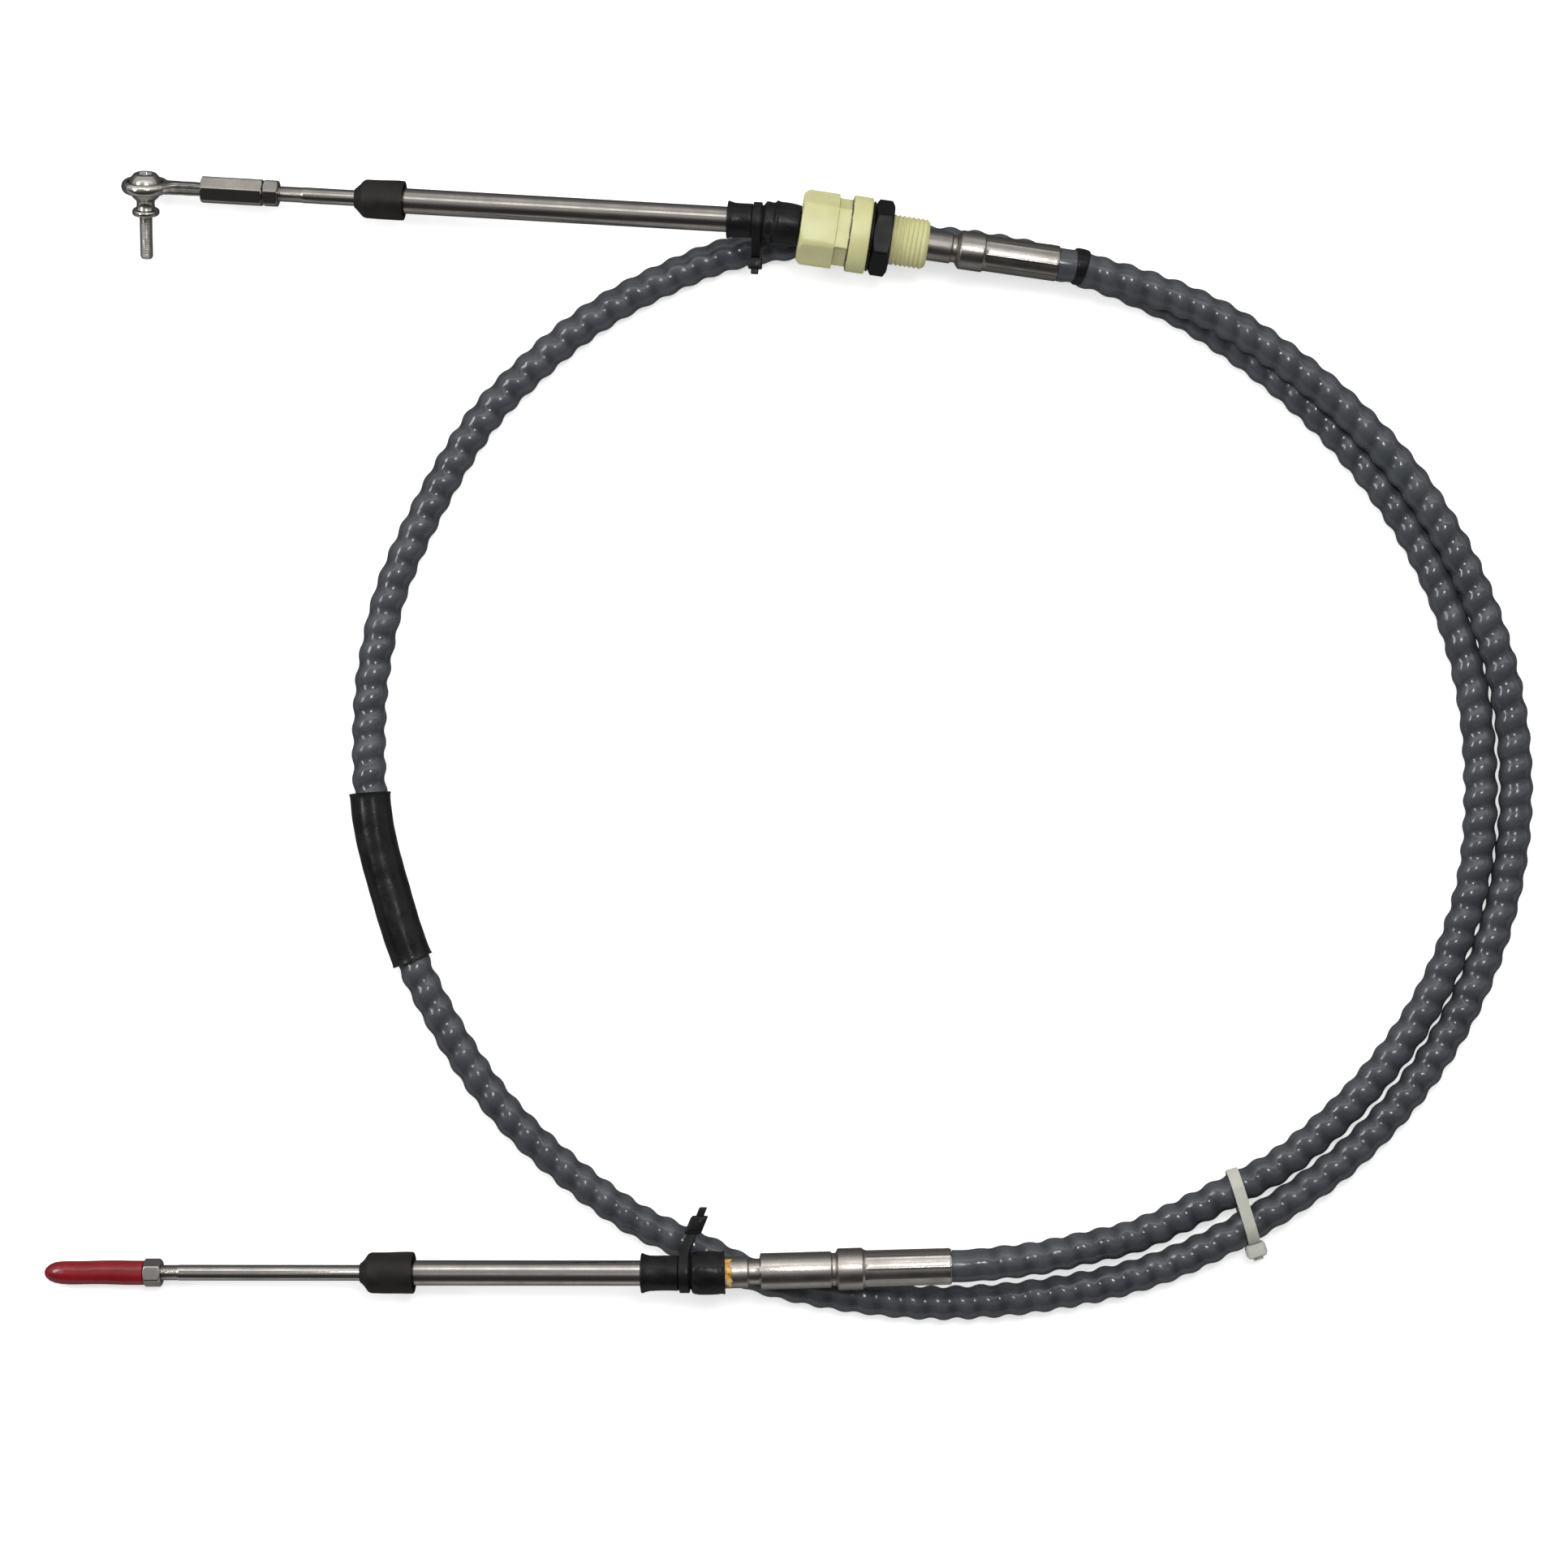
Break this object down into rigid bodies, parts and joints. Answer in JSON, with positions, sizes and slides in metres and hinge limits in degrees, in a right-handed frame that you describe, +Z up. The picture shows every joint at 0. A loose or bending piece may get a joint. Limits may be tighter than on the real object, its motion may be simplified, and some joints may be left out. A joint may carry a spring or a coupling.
{
  "type": "boat steering cable",
  "caption": "Coiled marine push-pull steering cable with a ribbed hose, a ball joint on one rod, a red cap on the other and a threaded hull fitting.",
  "frame": {"origin": "on the floor, under the middle of the box round the fittings (the hose and the pieces on it left out)", "axes": "+X from the rod ends towards the far side of the coil, +Y from the capped rod towards the ball joint, +Z up from the floor the cable lies on"},
  "size_m": [0.7483, 0.5769, 0.0543],
  "materials": {
    "stainless_polished": "polished",
    "stainless_satin": "satin, turned",
    "grey_vinyl": "glossy",
    "black_rubber": "semi-gloss",
    "black_plastic": "matte",
    "cream_plastic": "satin",
    "white_nylon": "satin",
    "red_vinyl": "glossy"
  },
  "bodies": {
    "cable": {"hose": "grey_vinyl", "hose_sleeve": "black_rubber", "marker_band": "black_plastic", "bundle_tie": "white_nylon", "upper_hub": "stainless_satin", "hull_collar": "cream_plastic", "hull_body": "cream_plastic", "hull_washer": "black_rubber", "hull_nut": "black_plastic", "lower_hub": "stainless_satin", "upper_boot_tie": "black_plastic", "lower_boot_tie": "black_plastic"},
    "upper_guide": {"upper_tube": "stainless_polished", "upper_wiper_cap": "black_plastic", "upper_boot": "black_rubber"},
    "upper_ram": {"upper_rod": "stainless_polished", "upper_jam_nut": "stainless_polished", "hex_coupler": "stainless_satin", "rod_end": "stainless_satin"},
    "stud": {"ball_stud": "stainless_polished"},
    "lower_guide": {"lower_tube": "stainless_polished", "lower_wiper_cap": "black_plastic", "lower_boot": "black_rubber"},
    "lower_ram": {"lower_rod": "stainless_polished", "lower_jam_nut": "stainless_polished"},
    "cap": {"red_cap": "red_vinyl"}
  },
  "joints": [
    {"name": "upper_swivel", "type": "hinge", "parent": "cable", "child": "upper_guide", "pos_m": [0.1108, 0.2538, 0.0368], "axis": [0, 0, 1], "range_deg": [-10.3, 1.7], "deforming": ["upper_boot"]},
    {"name": "lower_swivel", "type": "hinge", "parent": "cable", "child": "lower_guide", "pos_m": [0.0747, -0.2695, 0.0272], "axis": [0, 0, 1], "range_deg": [-7, 9], "deforming": ["lower_boot"]},
    {"name": "upper_rod_slide", "type": "slide", "parent": "upper_guide", "child": "upper_ram", "axis": [-0.9961, 0.0648, -0.0607], "range_m": [-0.019, 0.081]},
    {"name": "lower_rod_slide", "type": "slide", "parent": "lower_guide", "child": "lower_ram", "axis": [-0.9978, -0.0063, -0.0662], "range_m": [-0.081, 0.019]},
    {"name": "stud_tilt", "type": "hinge", "parent": "upper_ram", "child": "stud", "pos_m": [-0.2028, 0.2742, 0.0177], "axis": [-0.9961, 0.0648, -0.0607], "range_deg": [-20, 20]},
    {"name": "cap_pull", "type": "slide", "parent": "lower_ram", "child": "cap", "axis": [-0.9978, -0.0063, -0.0662], "range_m": [0, 0.045]}
  ],
  "couplings": [
    {"joint": "lower_rod_slide", "follows": "upper_rod_slide", "ratio": -1}
  ]
}
